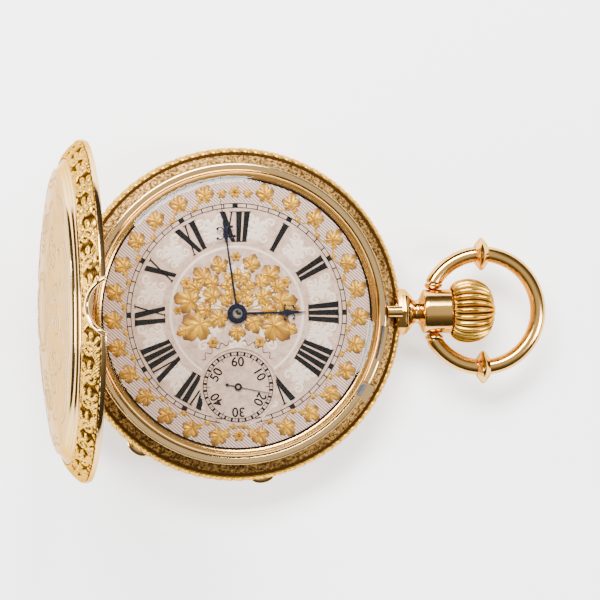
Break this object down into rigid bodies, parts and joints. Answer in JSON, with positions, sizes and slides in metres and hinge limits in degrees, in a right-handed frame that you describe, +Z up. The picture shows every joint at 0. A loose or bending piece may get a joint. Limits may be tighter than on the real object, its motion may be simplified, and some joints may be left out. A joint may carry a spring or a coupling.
{
  "type": "pocket watch",
  "caption": "Gold hunter-case pocket watch with hinged covers, decorated Roman dial, sunk seconds, ribbed crown and swinging bow.",
  "frame": {"origin": "middle of the flat on the back cover that the watch rests on", "axes": "+Z up out of the dial, +X towards the crown at three, +Y towards twelve"},
  "size_m": [0.0781, 0.05, 0.0582],
  "materials": {
    "gold": "polished rose-yellow gold, chased foliage on the covers",
    "gold_engraved": "gold, polished flange, frosted ledge and engraved belt",
    "steel": "polished and grained steel",
    "blued_steel": "heat-blued steel",
    "brass": "gilt brass wheels, circular grained",
    "nickel": "nickel plates with straight stripes",
    "dial_face": "silvered, engine-turned, applied gold leaves",
    "crystal_glass": "clear domed watch glass",
    "ruby": "polished synthetic ruby"
  },
  "bodies": {
    "case": {"case_middle": "gold_engraved", "pendant": "gold", "glass_bezel": "gold", "crystal": "crystal_glass", "front_hinge_pin": "steel", "back_hinge_pin": "steel", "cuvette_hinge_pin": "steel", "lift_spring": "steel", "main_plate": "nickel", "barrel_bridge": "nickel", "train_bridge": "nickel", "balance_cock": "nickel", "pallet_bridge": "nickel", "jewel_third": "ruby", "jewel_fourth": "ruby", "jewel_escape": "ruby", "jewel_balance": "ruby", "screw_barrel_bridge_a": "blued_steel", "screw_barrel_bridge_b": "blued_steel", "screw_train_bridge": "blued_steel", "screw_cock": "blued_steel", "case_screw_upper": "blued_steel", "case_screw_lower": "blued_steel", "crown_wheel_core": "blued_steel", "hairspring": "blued_steel", "dial": "dial_face"},
    "front_lid": {"front_lid": "gold"},
    "back_cover": {"back_cover": "gold"},
    "cuvette": {"cuvette": "gold"},
    "bow": {"bow": "gold", "bow_collar_upper": "gold", "bow_collar_lower": "gold"},
    "push_sleeve": {"push_sleeve": "steel"},
    "crown": {"crown": "gold", "winding_stem": "steel"},
    "winding_works": {"winding_pinion": "steel", "clutch": "steel"},
    "crown_wheel": {"crown_wheel": "steel"},
    "barrel_arbor": {"ratchet_wheel": "steel", "barrel_arbor": "steel"},
    "click": {"click": "steel"},
    "lock_catch": {"lock_spring": "steel"},
    "setting_lever": {"setting_lever": "steel"},
    "centre_arbor": {"centre_wheel": "brass", "cannon_pinion": "steel", "minute_hand": "blued_steel"},
    "hour_pipe": {"hour_wheel": "brass", "hour_hand": "blued_steel"},
    "minute_wheel": {"minute_wheel": "brass"},
    "barrel": {"barrel": "brass", "barrel_cover": "brass", "mainspring": "blued_steel"},
    "third_arbor": {"third_wheel": "brass"},
    "seconds_arbor": {"fourth_wheel": "brass", "seconds_hand": "blued_steel"},
    "escape_arbor": {"escape_wheel": "steel"},
    "pallet": {"pallet_fork": "steel"},
    "balance": {"balance_wheel": "brass", "balance_staff": "steel"},
    "regulator": {"regulator": "steel"}
  },
  "joints": [
    {"name": "front_lid_hinge", "type": "hinge", "parent": "case", "child": "front_lid", "pos_m": [-0.0255, 0, 0.00835], "axis": [0, 1, 0], "range_deg": [0, 87], "stiffness_Nm_per_rad": 0.004, "springref_deg": -20.05},
    {"name": "back_cover_hinge", "type": "hinge", "parent": "case", "child": "back_cover", "pos_m": [-0.0255, 0, 0.00515], "axis": [0, 1, 0], "range_deg": [0, 95]},
    {"name": "cuvette_hinge", "type": "hinge", "parent": "case", "child": "cuvette", "pos_m": [-0.0225, 0, 0.00475], "axis": [0, 1, 0], "range_deg": [0, 76]},
    {"name": "bow_swing", "type": "hinge", "parent": "case", "child": "bow", "pos_m": [0.0302, 0, 0.0066], "axis": [0, 1, 0], "range_deg": [-90, 90]},
    {"name": "crown_push", "type": "slide", "parent": "case", "child": "push_sleeve", "axis": [-1, 0, 0], "range_m": [0, 0.0005], "stiffness_N_per_m": 2000},
    {"name": "crown_turn", "type": "hinge", "parent": "push_sleeve", "child": "crown", "pos_m": [0.035, 0, 0.0066], "axis": [1, 0, 0], "continuous": true},
    {"name": "winding_pinion_turn", "type": "hinge", "parent": "case", "child": "winding_works", "pos_m": [0.015, 0, 0.0066], "axis": [1, 0, 0], "continuous": true},
    {"name": "crown_wheel_turn", "type": "hinge", "parent": "case", "child": "crown_wheel", "pos_m": [0.01252, 0, 0.005], "axis": [0, 0, 1], "continuous": true},
    {"name": "ratchet_turn", "type": "hinge", "parent": "case", "child": "barrel_arbor", "pos_m": [0.00489, 0.00847, 0.005], "axis": [0, 0, 1], "continuous": true},
    {"name": "click_swing", "type": "hinge", "parent": "case", "child": "click", "pos_m": [0.00039, 0.01567, 0.005], "axis": [0, 0, -1], "range_deg": [0, 8]},
    {"name": "lock_catch_slide", "type": "slide", "parent": "case", "child": "lock_catch", "axis": [-1, 0, 0], "range_m": [0, 0.00025]},
    {"name": "setting_lever_slide", "type": "slide", "parent": "case", "child": "setting_lever", "axis": [0.848, -0.5299, 0], "range_m": [0, 0.0011]},
    {"name": "centre_turn", "type": "hinge", "parent": "case", "child": "centre_arbor", "pos_m": [0, 0, 0.005], "axis": [0, 0, -1], "continuous": true},
    {"name": "hour_turn", "type": "hinge", "parent": "case", "child": "hour_pipe", "pos_m": [0, 0, 0.0085], "axis": [0, 0, -1], "continuous": true},
    {"name": "minute_wheel_turn", "type": "hinge", "parent": "case", "child": "minute_wheel", "pos_m": [-0.0039, 0, 0.008], "axis": [0, 0, -1], "continuous": true},
    {"name": "barrel_turn", "type": "hinge", "parent": "case", "child": "barrel", "pos_m": [0.00489, 0.00847, 0.005], "axis": [0, 0, -1], "continuous": true},
    {"name": "third_turn", "type": "hinge", "parent": "case", "child": "third_arbor", "pos_m": [0.00442, -0.00621, 0.005], "axis": [0, 0, -1], "continuous": true},
    {"name": "seconds_turn", "type": "hinge", "parent": "case", "child": "seconds_arbor", "pos_m": [0, -0.011, 0.005], "axis": [0, 0, -1], "continuous": true},
    {"name": "escape_turn", "type": "hinge", "parent": "case", "child": "escape_arbor", "pos_m": [-0.00505, -0.01274, 0.005], "axis": [0, 0, -1], "continuous": true},
    {"name": "pallet_swing", "type": "hinge", "parent": "case", "child": "pallet", "pos_m": [-0.00725, -0.01002, 0.005], "axis": [0, 0, 1], "range_deg": [-4, 4]},
    {"name": "balance_swing", "type": "hinge", "parent": "case", "child": "balance", "pos_m": [-0.0105, -0.006, 0.005], "axis": [0, 0, 1], "range_deg": [-135, 135], "stiffness_Nm_per_rad": 0.0000044},
    {"name": "regulator_swing", "type": "hinge", "parent": "case", "child": "regulator", "pos_m": [-0.0105, -0.006, 0.002], "axis": [0, 0, 1], "range_deg": [-15, 15]}
  ],
  "couplings": [
    {"joint": "cuvette_hinge", "follows": "back_cover_hinge", "ratio": 0.8},
    {"joint": "lock_catch_slide", "follows": "crown_push", "ratio": 0.5},
    {"joint": "winding_pinion_turn", "follows": "crown_turn", "ratio": 1},
    {"joint": "crown_wheel_turn", "follows": "crown_turn", "ratio": 0.33333},
    {"joint": "ratchet_turn", "follows": "crown_turn", "ratio": -0.26667},
    {"joint": "hour_turn", "follows": "centre_turn", "ratio": 0.083333},
    {"joint": "minute_wheel_turn", "follows": "centre_turn", "ratio": -0.33333},
    {"joint": "barrel_turn", "follows": "centre_turn", "ratio": -0.125},
    {"joint": "third_turn", "follows": "centre_turn", "ratio": -8},
    {"joint": "seconds_turn", "follows": "centre_turn", "ratio": 60},
    {"joint": "escape_turn", "follows": "centre_turn", "ratio": -600}
  ]
}
